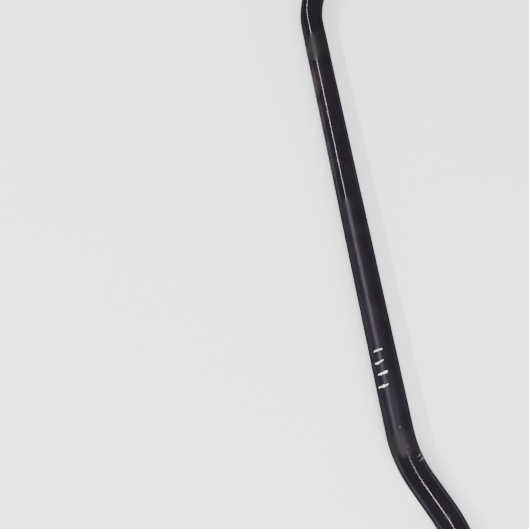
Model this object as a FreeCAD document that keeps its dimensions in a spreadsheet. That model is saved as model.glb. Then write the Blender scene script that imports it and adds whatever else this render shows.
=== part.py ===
"""Front sway bar assembly: bent bar, bushes, brackets and ball-jointed drop links.

Frame, in millimetres: the origin is midway between the four bracket bolt holes, on the plane that
the brackets bolt to. +X points to the vehicle's right, +Y towards the arms' ends and +Z up.
"""
import FreeCAD, Part
import math
import os
import re
import Sketcher
from FreeCAD import Placement, Rotation, Vector

# ---------------------------------------------------------------- driving dimensions

SIZES = {
    # bar: round section, jogged forward at each side, arms bent forward
    "bar_diameter": 24.0,
    "axis_height": 18.0,          # bush axis above the bolting plane
    "centre_length": 458.0,       # between the corners where the jogs begin
    "jog_angle": 25.4,
    "jog_leg": 68.5,              # corner to corner
    "jog_radius": 95.0,
    "corner_x": 432.0,            # corner where seat and arm meet
    "arm_splay": 28.0,            # arm's angle from straight ahead
    "arm_radius": 70.0,           # bends at both ends of the arm
    "eye_x": 502.0,
    "eye_y": 222.0,
    "eye_radius": 18.0,
    "eye_thickness": 12.0,
    "eye_hole": 10.5,
    "eye_neck": 9.0,              # half height of the flat where it enters the round bar
    "shoulder_share": 0.62,       # of the eye's radius and of the forging, where the shoulders start
    "forge_length": 32.0,         # from round section to flat section
    "forge_middle_x": 10.1,       # half sizes of the oval halfway along the forging
    "forge_middle_z": 13.9,
    "forge_end_z": 16.5,          # half height of the oval at the flat end
    # D-bush and bracket
    "seat_x": 345.0,
    "bush_length": 40.0,
    "bush_radius": 20.0,
    "bush_play": 0.05,            # between bush and bar, on radius
    "lip_height": 2.2,
    "lip_width": 4.8,
    "slit_width": 0.6,
    "strap_width": 30.0,
    "strap_thickness": 3.0,
    "strap_play": 0.1,
    "foot_reach": 50.0,
    "foot_bend": 3.0,             # inside radius
    "foot_round": 12.0,
    "bolt_offset": 38.0,
    "bolt_hole": 10.5,
    "rib_width": 6.0,
    "rib_reach": 4.5,
    "rib_height": 8.0,
    # retaining ring
    "ring_x": 372.5,
    "ring_width": 12.0,
    "ring_wall": 4.0,
    "ring_gap": 2.5,
    "ring_chamfer": 1.2,
    "press_gap": 0.02,            # left between pieces that are pressed or screwed together
    # drop link: distances along a joint are from the ball's centre, towards the stud's tip
    "link_length": 270.0,
    "rod_diameter": 11.0,
    "weld_leg": 2.0,
    "weld_length": 3.5,
    "ball_radius": 8.0,
    "ball_play": 0.08,
    "ball_flat": 7.5,             # flat of the ball, from its centre
    "neck_radius": 4.25,
    "neck_end": 15.2,
    "boot_seat_radius": 5.5,
    "boot_seat_start": 17.4,
    "collar_start": 20.4,
    "collar_radius": 10.0,
    "stud_seat": 24.0,
    "thread_diameter": 10.0,
    "thread_length": 26.0,
    "thread_chamfer": 1.2,
    "socket_flats": 5.0,
    "socket_depth": 5.0,
    "collar_chamfer": 0.6,
    "housing_radius": 14.0,
    "housing_bottom": -10.6,
    "housing_shoulder": 8.0,
    "housing_top": 12.0,
    "mouth_radius": 8.2,
    "mouth_flare": 1.2,
    "groove_radius": 11.2,
    "groove_end": 10.6,
    "rim_radius": 12.0,
    "rim_chamfer": 0.5,
    "edge_chamfer": 1.0,          # at the housing's and the shell's lower edges
    "shoulder_chamfer": 1.3,
    "rolled_edge": 0.95,          # overlap of the housing's edge over the cap
    "inside_gap": 0.05,           # round the shell and the cap in their housing
    "shell_radius": 11.0,
    "shell_top": 7.0,
    "shell_bottom": -8.75,
    "shell_mouth": 6.5,
    "shell_flare": 0.9,
    "cap_radius": 12.25,
    "cap_outside": -10.25,
    "cap_inside": -8.85,
    "dish_radius": 6.8,           # flat of the cap's shallow dish, its depth and its sloping side
    "dish_depth": 0.45,
    "dish_slope": 1.2,
    "boot_bulge": 14.6,
    "boot_wall": 1.3,
    "boot_bead": 1.6,             # thickness of the bead in the housing's groove
    "boot_lip": 2.8,              # thickness of the lip on the stud
    "bulge_start": 0.4,           # height of the bulge above the housing's top, and where it ends
    "bulge_end": 2.0,
    "clamp_thickness": 1.2,
    "clamp_width": 1.4,
    "nut_flats": 15.0,
    "nut_height": 11.0,
    "nut_flange_radius": 10.5,
    "nut_flange_height": 2.0,
    "nut_collar_radius": 6.9,
    "nut_collar_height": 2.4,
    "nut_chamfer": 0.8,
    "nut_crown": 1.2,             # depth of the bevel across the hexagon's corners
    "small_gap": 0.1,             # between a rubber boot and what it touches
}

doc = FreeCAD.newDocument("sway_bar")
sheet = doc.addObject("Spreadsheet::Sheet", "Sizes")
for row, (alias, number) in enumerate(SIZES.items(), start=1):
    sheet.set("A%d" % row, alias)
    sheet.set("B%d" % row, str(number))
    sheet.setAlias("B%d" % row, alias)
doc.recompute()


def in_sheet(formula):
    """The formula with each of the sheet's names written as Sizes.name."""
    return re.sub(r"[a-z_]+", lambda word: "Sizes." + word[0] if word[0] in SIZES else word[0], formula)


def value(formula):
    """The number that a formula of the sheet's names gives now."""
    return float(sheet.evalExpression(in_sheet(str(formula))))


def bind(thing, prop, formula):
    """Tie a property or a constraint to a formula of the sheet's names."""
    thing.setExpression(prop, in_sheet(str(formula)))


# ---------------------------------------------------------------- sketch helpers

def new_body(name):
    """An empty body whose label is its node's name."""
    body = doc.addObject("PartDesign::Body", name)
    body.Label = name
    return body


def new_sketch(body, name, role, lift=None):
    """A sketch on one of the body's own origin planes, moved along its normal by lift."""
    sketch = body.newObject("Sketcher::SketchObject", name)
    plane = next(item for item in body.Origin.OriginFeatures if item.Role == role)
    sketch.AttachmentSupport = [(plane, "")]
    sketch.MapMode = "FlatFace"
    if lift is not None:
        bind(sketch, "AttachmentOffset.Base.z", lift)
    doc.recompute()
    return sketch


def pin_down(sketch, kind, spot, formula):
    """A dimension constraint that follows a formula of the sheet's names."""
    number = value(formula)
    if kind == "Angle":
        number = math.radians(number)
    index = sketch.addConstraint(Sketcher.Constraint(kind, *spot, number))
    bind(sketch, "Constraints[%d]" % index, formula)


def pin_point(sketch, geometry, end, corner):
    """Hold one point at a corner, given as two formulas, measured from the sketch's origin."""
    pin_down(sketch, "DistanceX", (-1, 1, geometry, end), corner[0])
    pin_down(sketch, "DistanceY", (-1, 1, geometry, end), corner[1])


def line(sketch, start, end):
    return sketch.addGeometry(Part.LineSegment(Vector(*start, 0), Vector(*end, 0)))


def polygon(sketch, corners):
    """A closed outline of straight edges through corners given as pairs of formulas."""
    points = [(value(u), value(v)) for u, v in corners]
    edges = [line(sketch, start, end) for start, end in zip(points, points[1:] + points[:1])]
    for edge, following in zip(edges, edges[1:] + edges[:1]):
        sketch.addConstraint(Sketcher.Constraint("Coincident", edge, 2, following, 1))
    for edge, corner in zip(edges, corners):
        pin_point(sketch, edge, 1, corner)


def circle(sketch, centre, radius):
    shape = Part.Circle(Vector(value(centre[0]), value(centre[1]), 0), Vector(0, 0, 1), value(radius))
    index = sketch.addGeometry(shape)
    pin_point(sketch, index, 3, centre)
    pin_down(sketch, "Radius", (index,), radius)


def ellipse(sketch, centre, half_width, half_height):
    """An ellipse that is taller than it is wide."""
    middle = Vector(value(centre[0]), value(centre[1]), 0)
    top = middle + Vector(0, value(half_height), 0)
    side = middle + Vector(value(half_width), 0, 0)
    index = sketch.addGeometry(Part.Ellipse(top, side, middle))
    sketch.exposeInternalGeometry(index)
    long_axis, short_axis = index + 1, index + 2
    sketch.addConstraint(Sketcher.Constraint("Vertical", long_axis))
    pin_point(sketch, index, 3, centre)
    pin_down(sketch, "Distance", (long_axis,), "2 * (%s)" % half_height)
    pin_down(sketch, "Distance", (short_axis,), "2 * (%s)" % half_width)


def route(sketch, start, moves):
    """A path of straight runs joined by tangent bends.

    Each move is (heading, length, radius): a run of that length at that heading in degrees, then a
    bend of that radius into the next move's heading. The last move has no radius.
    """
    here = Vector(value(start[0]), value(start[1]), 0)
    before = None
    for number, (heading, length, radius) in enumerate(moves):
        angle = math.radians(value(heading))
        ahead = Vector(math.cos(angle), math.sin(angle), 0)
        end = here + ahead * value(length)
        run = line(sketch, here[:2], end[:2])
        if before is None:
            pin_point(sketch, run, 1, start)
        else:
            sketch.addConstraint(Sketcher.Constraint("Tangent", before[0], before[1], run, 1))
        pin_down(sketch, "Angle", (run,), heading)
        pin_down(sketch, "Distance", (run,), length)
        here = end
        if radius is None:
            continue
        turn = math.radians(value(moves[number + 1][0])) - angle
        side = math.copysign(1.0, turn)
        centre = here + Vector(-ahead.y, ahead.x, 0) * side * value(radius)
        first = math.atan2(here.y - centre.y, here.x - centre.x)
        last = first + turn
        bend_ends = (1, 2) if side > 0 else (2, 1)
        ring = Part.Circle(centre, Vector(0, 0, 1), value(radius))
        bend = sketch.addGeometry(Part.ArcOfCircle(ring, min(first, last), max(first, last)))
        sketch.addConstraint(Sketcher.Constraint("Tangent", run, 2, bend, bend_ends[0]))
        pin_down(sketch, "Radius", (bend,), radius)
        here = centre + Vector(math.cos(last), math.sin(last), 0) * value(radius)
        before = (bend, bend_ends[1])


def spin(body, name, sketch, kind="Revolution"):
    """Turn a sketch of (radius, height) points once round its upright axis."""
    feature = body.newObject("PartDesign::" + kind, name)
    feature.Profile = sketch
    feature.ReferenceAxis = (sketch, ["V_Axis"])
    feature.Angle = 360
    sketch.Visibility = False
    doc.recompute()
    return feature


def turned_body(name, corners):
    """A turned piece: a body with one revolved outline of (radius, height) corners."""
    body = new_body(name)
    sketch = new_sketch(body, "section", "XZ_Plane")
    polygon(sketch, corners)
    spin(body, "turned", sketch)
    return body


def pad(body, name, sketch, length, centred=False):
    feature = body.newObject("PartDesign::Pad", name)
    feature.Profile = sketch
    bind(feature, "Length", length)
    if centred:
        feature.SideType = "Symmetric"
    doc.recompute()
    return feature


def pocket(body, name, sketch, length, upwards=False, centred=False):
    """Cut a sketch's outline out of the body; the volume has to fall."""
    volume = body.Shape.Volume
    feature = body.newObject("PartDesign::Pocket", name)
    feature.Profile = sketch
    bind(feature, "Length", length)
    feature.Reversed = upwards
    if centred:
        feature.SideType = "Symmetric"
    doc.recompute()
    if body.Shape.Volume >= volume:
        raise RuntimeError("%s of %s cuts nothing" % (name, body.Label))
    return feature


def fillet(body, name, radius, wanted):
    """Round the edges of the body's tip that the test picks."""
    base = body.Tip
    names = ["Edge%d" % number for number, edge in enumerate(base.Shape.Edges, start=1) if wanted(edge)]
    feature = body.newObject("PartDesign::Fillet", name)
    feature.Base = (base, names)
    bind(feature, "Radius", radius)
    doc.recompute()


# ---------------------------------------------------------------- placing

placed = []


def place(piece, spot, rotation=Rotation()):
    """Put a finished sub-part at a spot given as three formulas, and keep it for writing."""
    piece.Placement = Placement(Vector(*[value(part) for part in spot]), rotation)
    for axis, formula in zip("xyz", spot):
        bind(piece, "Placement.Base." + axis, formula)
    placed.append(piece)


# ---------------------------------------------------------------- bar

def make_bar():
    """One bent bar. Its right half is swept along the route, and then mirrored."""
    body = new_body("bar")
    jog_cut = "jog_radius * tan(jog_angle / 2)"
    corner_turn = "(90 - arm_splay)"
    corner_cut = "arm_radius * tan(%s / 2)" % corner_turn
    end_cut = "arm_radius * tan(arm_splay / 2)"
    jog_rise = "jog_leg * sin(jog_angle)"
    arm = "(eye_x - corner_x) / sin(arm_splay)"
    end_corner_y = "(eye_x - corner_x) / tan(arm_splay)"
    forge_start = "eye_y - eye_radius - forge_length"

    path = new_sketch(body, "route", "XY_Plane")
    route(path, ("0", "-(%s)" % jog_rise), [
        ("0", "centre_length / 2 - %s" % jog_cut, "jog_radius"),
        ("jog_angle", "jog_leg - 2 * %s" % jog_cut, "jog_radius"),
        ("0", "corner_x - centre_length / 2 - jog_leg * cos(jog_angle) - %s - %s" % (jog_cut, corner_cut),
         "arm_radius"),
        (corner_turn, "%s - %s - %s" % (arm, corner_cut, end_cut), "arm_radius"),
        ("90", "%s - %s - %s" % (forge_start, end_corner_y, end_cut), None),
    ])
    section = new_sketch(body, "round_section", "YZ_Plane")
    circle(section, ("-(%s)" % jog_rise, "0"), "bar_diameter / 2")
    sweep = body.newObject("PartDesign::AdditivePipe", "bent_bar")
    sweep.Profile = section
    sweep.Spine = path
    doc.recompute()

    # the end is forged flat: sections go from round to a tall, thin oval
    stations = [("0", "bar_diameter / 2", "bar_diameter / 2"),
                ("forge_length / 2", "forge_middle_x", "forge_middle_z"),
                ("forge_length", "eye_thickness / 2", "forge_end_z")]
    ovals = []
    for number, (along, half_x, half_z) in enumerate(stations):
        oval = new_sketch(body, "forged_section_%d" % number, "XZ_Plane", "-(%s + %s)" % (forge_start, along))
        if number == 0:
            circle(oval, ("eye_x", "0"), half_x)
        else:
            ellipse(oval, ("eye_x", "0"), half_x, half_z)
        ovals.append(oval)
    forged = body.newObject("PartDesign::AdditiveLoft", "forged_neck")
    forged.Profile = ovals[0]
    forged.Sections = ovals[1:]
    doc.recompute()

    # the eye: a flat disc with shoulders that run into the forged neck
    outline = new_sketch(body, "eye_outline", "YZ_Plane", "eye_x")
    shoulder = "eye_y - shoulder_share * eye_radius"
    neck = "eye_y - eye_radius - shoulder_share * forge_length"
    polygon(outline, [
        (neck, "-eye_neck"),
        (shoulder, "-eye_radius"),
        ("eye_y", "-eye_radius"),
        ("eye_y", "eye_radius"),
        (shoulder, "eye_radius"),
        (neck, "eye_neck"),
    ])
    pad(body, "eye_shoulders", outline, "eye_thickness", centred=True)
    disc = new_sketch(body, "eye_disc", "YZ_Plane", "eye_x")
    circle(disc, ("eye_y", "0"), "eye_radius")
    pad(body, "eye", disc, "eye_thickness", centred=True)
    hole = new_sketch(body, "eye_hole", "YZ_Plane", "eye_x")
    circle(hole, ("eye_y", "0"), "eye_hole / 2")
    pocket(body, "stud_hole", hole, "2 * eye_thickness", centred=True)

    mirror = body.newObject("PartDesign::Mirrored", "left_half")
    mirror.TransformMode = "Whole shape"
    mirror.MirrorPlane = (next(item for item in body.Origin.OriginFeatures if item.Role == "YZ_Plane"), [""])
    body.Tip = mirror
    doc.recompute()
    place(body, ("0", "0", "axis_height"))


# ---------------------------------------------------------------- bush, bracket, ring

def block(name, size, corner):
    """A box of three size formulas with its lowest corner at three others."""
    piece = doc.addObject("Part::Box", name)
    for prop, formula in zip(("Length", "Width", "Height"), size):
        bind(piece, prop, formula)
    for axis, formula in zip("xyz", corner):
        bind(piece, "Placement.Base." + axis, formula)
    return piece


def round_bar(name, radius, length, start, height):
    """A cylinder along X from a start, at a height, on the bar's axis plane."""
    piece = doc.addObject("Part::Cylinder", name)
    piece.Placement = Placement(Vector(), Rotation(Vector(0, 1, 0), 90))
    bind(piece, "Radius", radius)
    bind(piece, "Height", length)
    bind(piece, "Placement.Base.x", start)
    bind(piece, "Placement.Base.z", height)
    return piece


def d_block(name, radius, length, start):
    """A D-shaped block along X: half round above the bar's axis, square down to the base."""
    crown = round_bar(name + "_crown", radius, length, start, "axis_height")
    foot = block(name + "_foot", (length, "2 * " + radius, "axis_height"), (start, "-" + radius, "0"))
    whole = doc.addObject("Part::Fuse", name)
    whole.Base = crown
    whole.Tool = foot
    whole.Refine = True
    return whole


def make_bush(side, sign):
    """Split rubber D-bush with a lip at each end, outside the strap."""
    name = side + "_bush"
    lip_radius = "(bush_radius + lip_height)"
    body = doc.addObject("Part::MultiFuse", name + "_moulding")
    body.Shapes = [
        d_block(name + "_land", "bush_radius", "bush_length", "-bush_length / 2"),
        d_block(name + "_inner_lip", lip_radius, "lip_width", "-bush_length / 2"),
        d_block(name + "_outer_lip", lip_radius, "lip_width", "bush_length / 2 - lip_width"),
    ]
    body.Refine = True
    hollow = doc.addObject("Part::MultiFuse", name + "_hollow")
    hollow.Shapes = [
        round_bar(name + "_bore", "bar_diameter / 2 + bush_play", "2 * bush_length", "-bush_length",
                  "axis_height"),
        block(name + "_slit", ("2 * bush_length", "2 * bush_radius", "slit_width"),
              ("-bush_length", "-2 * bush_radius", "axis_height - slit_width / 2")),
        block(name + "_below", ("2 * bush_length", "4 * bush_radius", "bush_radius"),
              ("-bush_length", "-2 * bush_radius", "-bush_radius")),
    ]
    bush = doc.addObject("Part::Cut", name)
    bush.Base = body
    bush.Tool = hollow
    bush.Label = name
    doc.recompute()
    place(bush, (sign + "seat_x", "0", "0"))


def make_bracket(side, sign):
    """Strap bent from flat strip: two feet, two legs and a half-round crown."""
    body = new_body(side + "_bracket")
    middle = "strap_thickness / 2"
    crown = "(bush_radius + strap_play + %s)" % middle
    bend = "(foot_bend + %s)" % middle
    foot = "foot_reach - %s - %s" % (crown, bend)
    leg = "axis_height - %s - %s" % (middle, bend)

    path = new_sketch(body, "strip_route", "YZ_Plane")
    route(path, ("-foot_reach", middle), [
        ("0", foot, bend),
        ("90", leg, crown),
        ("-90", leg, bend),
        ("0", foot, None),
    ])
    section = new_sketch(body, "strip_section", "XZ_Plane", "foot_reach")
    half = "strap_width / 2"
    polygon(section, [("-" + half, "0"), (half, "0"), (half, "strap_thickness"),
                      ("-" + half, "strap_thickness")])
    strip = body.newObject("PartDesign::AdditivePipe", "bent_strip")
    strip.Profile = section
    strip.Spine = path
    doc.recompute()

    ribs = new_sketch(body, "rib_outline", "YZ_Plane")
    root = "(bush_radius + strap_play + %s)" % middle
    reach = "(bush_radius + strap_play + strap_thickness + rib_reach)"
    for turn in ("", "-"):
        polygon(ribs, [(turn + root, middle), (turn + reach, middle), (turn + reach, "strap_thickness"),
                       (turn + root, "strap_thickness + rib_height")])
    pad(body, "ribs", ribs, "rib_width", centred=True)

    holes = new_sketch(body, "bolt_holes", "XY_Plane")
    for turn in ("", "-"):
        circle(holes, ("0", turn + "bolt_offset"), "bolt_hole / 2")
    pocket(body, "drilled", holes, "2 * strap_thickness", upwards=True)

    def foot_corner(edge):
        """True for an upright edge at the outer end of a foot."""
        box = edge.BoundBox
        upright = box.ZLength > max(box.XLength, box.YLength) + 1
        return upright and abs(box.YMax) > value("foot_reach - 1")

    fillet(body, "rounded_feet", "foot_round", foot_corner)
    place(body, (sign + "seat_x", "0", "0"))


def make_retaining_ring(side, sign):
    """Split metal ring squeezed on the bar outboard of the bush."""
    body = new_body(side + "_retaining_ring")
    section = new_sketch(body, "section", "XZ_Plane")
    inner = "bar_diameter / 2 + press_gap"
    outer = "bar_diameter / 2 + ring_wall"
    half = "ring_width / 2"
    polygon(section, [
        (inner, "-" + half), (outer + " - ring_chamfer", "-" + half), (outer, "ring_chamfer - " + half),
        (outer, half + " - ring_chamfer"), (outer + " - ring_chamfer", half), (inner, half),
    ])
    spin(body, "turned_ring", section)
    gap = new_sketch(body, "gap_outline", "XY_Plane")
    polygon(gap, [("0", "-ring_gap / 2"), ("bar_diameter", "-ring_gap / 2"), ("bar_diameter", "ring_gap / 2"),
                  ("0", "ring_gap / 2")])
    pocket(body, "gap", gap, "2 * ring_width", centred=True)
    place(body, (sign + "ring_x", "0", "axis_height"), Rotation(Vector(0, 1, 0), 90))


# ---------------------------------------------------------------- ball joints

def make_ball_stud(name):
    """Ball, neck, boot seat, collar and plain thread, with a key socket in the tip."""
    body = new_body(name)
    section = new_sketch(body, "section", "XZ_Plane")
    ball_corners(section, "ball_radius", [
        ("neck_radius", "neck_end"),
        ("boot_seat_radius", "boot_seat_start"),
        ("boot_seat_radius", "collar_start"),
        ("collar_radius - collar_chamfer", "collar_start"),
        ("collar_radius", "collar_start + collar_chamfer"),
        ("collar_radius", "stud_seat"),
        ("thread_diameter / 2", "stud_seat"),
        ("thread_diameter / 2", "stud_seat + thread_length - thread_chamfer"),
        ("thread_diameter / 2 - thread_chamfer", "stud_seat + thread_length"),
        ("0", "stud_seat + thread_length"),
    ])
    spin(body, "turned_stud", section)
    tip = new_sketch(body, "key_outline", "XY_Plane", "stud_seat + thread_length")
    hexagon(tip, "socket_flats")
    pocket(body, "key_socket", tip, "socket_depth")
    return body


def ball_corners(sketch, radius, corners):
    """Outline that starts at the ball's flat, follows the ball to the neck and then the corners."""
    flat = value("ball_flat")
    ball = value(radius)
    neck = value("neck_radius")
    start = Vector(math.sqrt(ball ** 2 - flat ** 2), -flat, 0)
    end = Vector(neck, math.sqrt(ball ** 2 - neck ** 2), 0)
    arc = sketch.addGeometry(Part.ArcOfCircle(Part.Circle(Vector(), Vector(0, 0, 1), ball),
                                              math.atan2(start.y, start.x), math.atan2(end.y, end.x)))
    pin_point(sketch, arc, 3, ("0", "0"))
    pin_down(sketch, "Radius", (arc,), radius)
    pin_down(sketch, "DistanceY", (-1, 1, arc, 1), "-ball_flat")
    pin_down(sketch, "DistanceX", (-1, 1, arc, 2), "neck_radius")
    points = [(end.x, end.y)] + [(value(u), value(v)) for u, v in corners]
    points += [(0.0, -flat), (start.x, start.y)]
    edges = [line(sketch, first, last) for first, last in zip(points, points[1:])]
    sketch.addConstraint(Sketcher.Constraint("Coincident", arc, 2, edges[0], 1))
    for edge, following in zip(edges, edges[1:]):
        sketch.addConstraint(Sketcher.Constraint("Coincident", edge, 2, following, 1))
    sketch.addConstraint(Sketcher.Constraint("Coincident", edges[-1], 2, arc, 1))
    for edge, corner in zip(edges, corners + [("0", "-ball_flat")]):
        pin_point(sketch, edge, 2, corner)


def hexagon(sketch, flats):
    """A hexagon of that width across flats round the sketch's origin."""
    reach = "(%s) / sqrt(3)" % flats
    polygon(sketch, [("%s * cos(%d)" % (reach, angle), "%s * sin(%d)" % (reach, angle))
                     for angle in range(0, 360, 60)])


def make_bearing_shell(name):
    """Plastic seat round the ball: a cup with a mouth wide enough for the neck to tilt."""
    body = turned_body(name, [
        ("0", "shell_bottom"),
        ("shell_radius - edge_chamfer", "shell_bottom"),
        ("shell_radius", "shell_bottom + edge_chamfer"),
        ("shell_radius", "shell_top"),
        ("0", "shell_top"),
    ])
    hollow = new_sketch(body, "ball_hollow", "XZ_Plane")
    seat = value("ball_radius + ball_play")
    bowl = hollow.addGeometry(Part.ArcOfCircle(Part.Circle(Vector(), Vector(0, 0, 1), seat), -math.pi / 2,
                                               math.acos(value("shell_mouth") / seat)))
    pin_point(hollow, bowl, 3, ("0", "0"))
    pin_down(hollow, "Radius", (bowl,), "ball_radius + ball_play")
    hollow.addConstraint(Sketcher.Constraint("PointOnObject", bowl, 1, -2))
    pin_down(hollow, "DistanceX", (-1, 1, bowl, 2), "shell_mouth")
    mouth = (value("shell_mouth"), math.sqrt(seat ** 2 - value("shell_mouth") ** 2))
    corners = [("shell_mouth + shell_flare", "shell_top + 1"), ("0", "shell_top + 1")]
    points = [mouth] + [(value(u), value(v)) for u, v in corners] + [(0.0, -seat)]
    edges = [line(hollow, first, last) for first, last in zip(points, points[1:])]
    hollow.addConstraint(Sketcher.Constraint("Coincident", bowl, 2, edges[0], 1))
    for edge, following in zip(edges, edges[1:]):
        hollow.addConstraint(Sketcher.Constraint("Coincident", edge, 2, following, 1))
    hollow.addConstraint(Sketcher.Constraint("Coincident", edges[-1], 2, bowl, 1))
    for edge, corner in zip(edges, corners):
        pin_point(hollow, edge, 2, corner)
    solid = body.Shape.Volume
    spin(body, "ball_seat", hollow, "Groove")
    if body.Shape.Volume >= solid:
        raise RuntimeError("the seat of %s cuts nothing" % name)
    return body


def make_housing(name):
    """Steel cup: boot groove and flared mouth at the stud's side, rolled edge over the cap."""
    return turned_body(name, [
        ("cap_radius - rolled_edge", "housing_bottom"),
        ("housing_radius - edge_chamfer", "housing_bottom"),
        ("housing_radius", "housing_bottom + edge_chamfer"),
        ("housing_radius", "housing_shoulder - shoulder_chamfer"),
        ("housing_radius - shoulder_chamfer", "housing_shoulder"),
        ("groove_radius", "housing_shoulder"),
        ("groove_radius", "groove_end"),
        ("rim_radius", "groove_end"),
        ("rim_radius", "housing_top - rim_chamfer"),
        ("rim_radius - rim_chamfer", "housing_top"),
        ("mouth_radius + mouth_flare", "housing_top"),
        ("mouth_radius", "shell_top + inside_gap"),
        ("shell_radius + inside_gap", "shell_top + inside_gap"),
        ("shell_radius + inside_gap", "cap_inside + inside_gap"),
        ("cap_radius + inside_gap", "cap_inside + inside_gap"),
        ("cap_radius + inside_gap", "cap_outside - inside_gap"),
        ("cap_radius - rolled_edge", "cap_outside - inside_gap"),
    ])


def make_end_cap(name):
    """Pressed disc with a shallow dish, held by the housing's rolled edge."""
    return turned_body(name, [
        ("0", "cap_inside"),
        ("0", "cap_outside + dish_depth"),
        ("dish_radius", "cap_outside + dish_depth"),
        ("dish_radius + dish_slope", "cap_outside"),
        ("cap_radius", "cap_outside"),
        ("cap_radius", "cap_inside"),
    ])


def make_boot(name):
    """Hollow rubber boot: a bead in the housing's groove, one bulge, and a lip on the stud."""
    bead_inner = "groove_radius + small_gap"
    bead_outer = bead_inner + " + boot_bead"
    lip_inner = "boot_seat_radius + small_gap"
    lip_outer = lip_inner + " + boot_lip"
    inside = "boot_bulge - boot_wall"
    past_rim = "rim_radius + 1.5 * small_gap"
    low = "housing_shoulder + 1.5 * small_gap"
    high = "collar_start - 2 * small_gap"
    return turned_body(name, [
        (bead_inner, low),
        (bead_outer, low),
        (bead_outer, "groove_end"),
        ("boot_bulge", "housing_top + bulge_start"),
        ("boot_bulge", "housing_top + bulge_end"),
        (lip_outer + " + bulge_start", "boot_seat_start"),
        (lip_outer, "boot_seat_start + 0.5"),
        (lip_outer, high),
        (lip_inner, high),
        (lip_inner, "boot_seat_start + 0.4"),
        (lip_inner + " + 2", "boot_seat_start - 0.7"),
        (inside, "housing_top + bulge_end - 0.6"),
        (inside, "housing_top + bulge_start + 0.5"),
        (past_rim, "housing_top - small_gap"),
        (past_rim, "groove_end - small_gap"),
        (bead_inner, "groove_end - small_gap"),
    ])


def make_clamp(name, inner, height):
    """Flat spring ring round a boot's bead, centred at a height."""
    outer = inner + " + clamp_thickness"
    return turned_body(name, [
        (inner, "%s - clamp_width / 2" % height), (outer, "%s - clamp_width / 2" % height),
        (outer, "%s + clamp_width / 2" % height), (inner, "%s + clamp_width / 2" % height),
    ])


def make_nut(name):
    """Self-locking flange nut. Its flange lies on the plane through the body's origin."""
    body = new_body(name)
    prism = new_sketch(body, "hexagon", "XY_Plane")
    hexagon(prism, "nut_flats")
    pad(body, "prism", prism, "nut_height - nut_collar_height")
    flange = new_sketch(body, "flange_section", "XZ_Plane")
    polygon(flange, [
        ("0", "0"),
        ("nut_flange_radius", "0"),
        ("nut_flange_radius", "nut_flange_height / 2"),
        ("nut_flats / 2", "1.5 * nut_flange_height"),
        ("0", "1.5 * nut_flange_height"),
    ])
    spin(body, "flange", flange)
    crown = new_sketch(body, "crown_cut", "XZ_Plane")
    outside = "nut_flats / sqrt(3) + 1"
    inside = "nut_flats / 2 - 0.2"
    top = "nut_height - nut_collar_height"
    polygon(crown, [(inside, top), (outside, top + " - nut_crown"), (outside, "nut_height"),
                    (inside, "nut_height")])
    spin(body, "bevelled_crown", crown, "Groove")
    collar = new_sketch(body, "collar_section", "XZ_Plane")
    polygon(collar, [
        ("0", top + " - 1"),
        ("nut_collar_radius", top + " - 1"),
        ("nut_collar_radius", "nut_height - nut_chamfer"),
        ("nut_collar_radius - nut_chamfer", "nut_height"),
        ("0", "nut_height"),
    ])
    spin(body, "locking_collar", collar)
    bore = new_sketch(body, "bore", "XY_Plane")
    circle(bore, ("0", "0"), "thread_diameter / 2 + press_gap")
    pocket(body, "threaded_bore", bore, "2 * nut_height", upwards=True)
    return body


# ---------------------------------------------------------------- drop link

def make_link_rod(side, spot):
    """Round rod between the housings, with a weld collar and a saddle at each end."""
    name = side + "_link_rod"
    shank = doc.addObject("Part::Cylinder", name + "_shank")
    bind(shank, "Radius", "rod_diameter / 2")
    bind(shank, "Height", "link_length")
    parts = [shank]
    collar_start = "(housing_radius - weld_leg)"
    for end in ("lower", "upper"):
        weld = doc.addObject("Part::Cone", name + "_" + end + "_weld")
        wide, narrow = ("Radius1", "Radius2") if end == "lower" else ("Radius2", "Radius1")
        bind(weld, wide, "rod_diameter / 2 + weld_leg")
        bind(weld, narrow, "rod_diameter / 2")
        bind(weld, "Height", "weld_length + weld_leg")
        lift = collar_start if end == "lower" else "link_length - %s - weld_length - weld_leg" % collar_start
        bind(weld, "Placement.Base.z", lift)
        parts.append(weld)
    solid = doc.addObject("Part::MultiFuse", name + "_solid")
    solid.Shapes = parts
    saddles = doc.addObject("Part::MultiFuse", name + "_saddles")
    saddles.Shapes = [round_bar("%s_%s_saddle" % (name, end), "housing_radius + press_gap",
                                "4 * housing_radius", "-2 * housing_radius", lift)
                      for end, lift in (("lower", "0"), ("upper", "link_length"))]
    rod = doc.addObject("Part::Cut", name)
    rod.Base = solid
    rod.Tool = saddles
    rod.Label = name
    doc.recompute()
    place(rod, spot)


def make_link(side, sign):
    """Drop link standing on the bar's eye: lower stud points inboard, upper stud outboard."""
    ball_x = "%s(eye_x + eye_thickness / 2 + stud_seat)" % sign
    outboard = Rotation(Vector(0, 1, 0), 90 if side == "right" else -90)
    inboard = Rotation(Vector(0, 1, 0), -90 if side == "right" else 90)
    make_link_rod(side, (ball_x, "eye_y", "axis_height"))
    for level, height, aim in (("lower", "axis_height", inboard),
                               ("upper", "axis_height + link_length", outboard)):
        name = "%s_%s_" % (side, level)
        spot = (ball_x, "eye_y", height)
        pieces = [
            make_ball_stud(name + "ball_stud"),
            make_bearing_shell(name + "bearing_shell"),
            make_housing(name + "housing"),
            make_end_cap(name + "end_cap"),
            make_boot(name + "boot"),
            make_clamp(name + "boot_clamp", "groove_radius + 2 * small_gap + boot_bead",
                       "(housing_shoulder + groove_end) / 2"),
            make_clamp(name + "boot_ring", "boot_seat_radius + 2 * small_gap + boot_lip",
                       "(boot_seat_start + collar_start) / 2"),
        ]
        for piece in pieces:
            place(piece, spot, aim)
    nut = make_nut(side + "_link_nut")
    place(nut, ("%s(eye_x - eye_thickness / 2)" % sign, "eye_y", "axis_height"), inboard)


# ---------------------------------------------------------------- assembly

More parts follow.
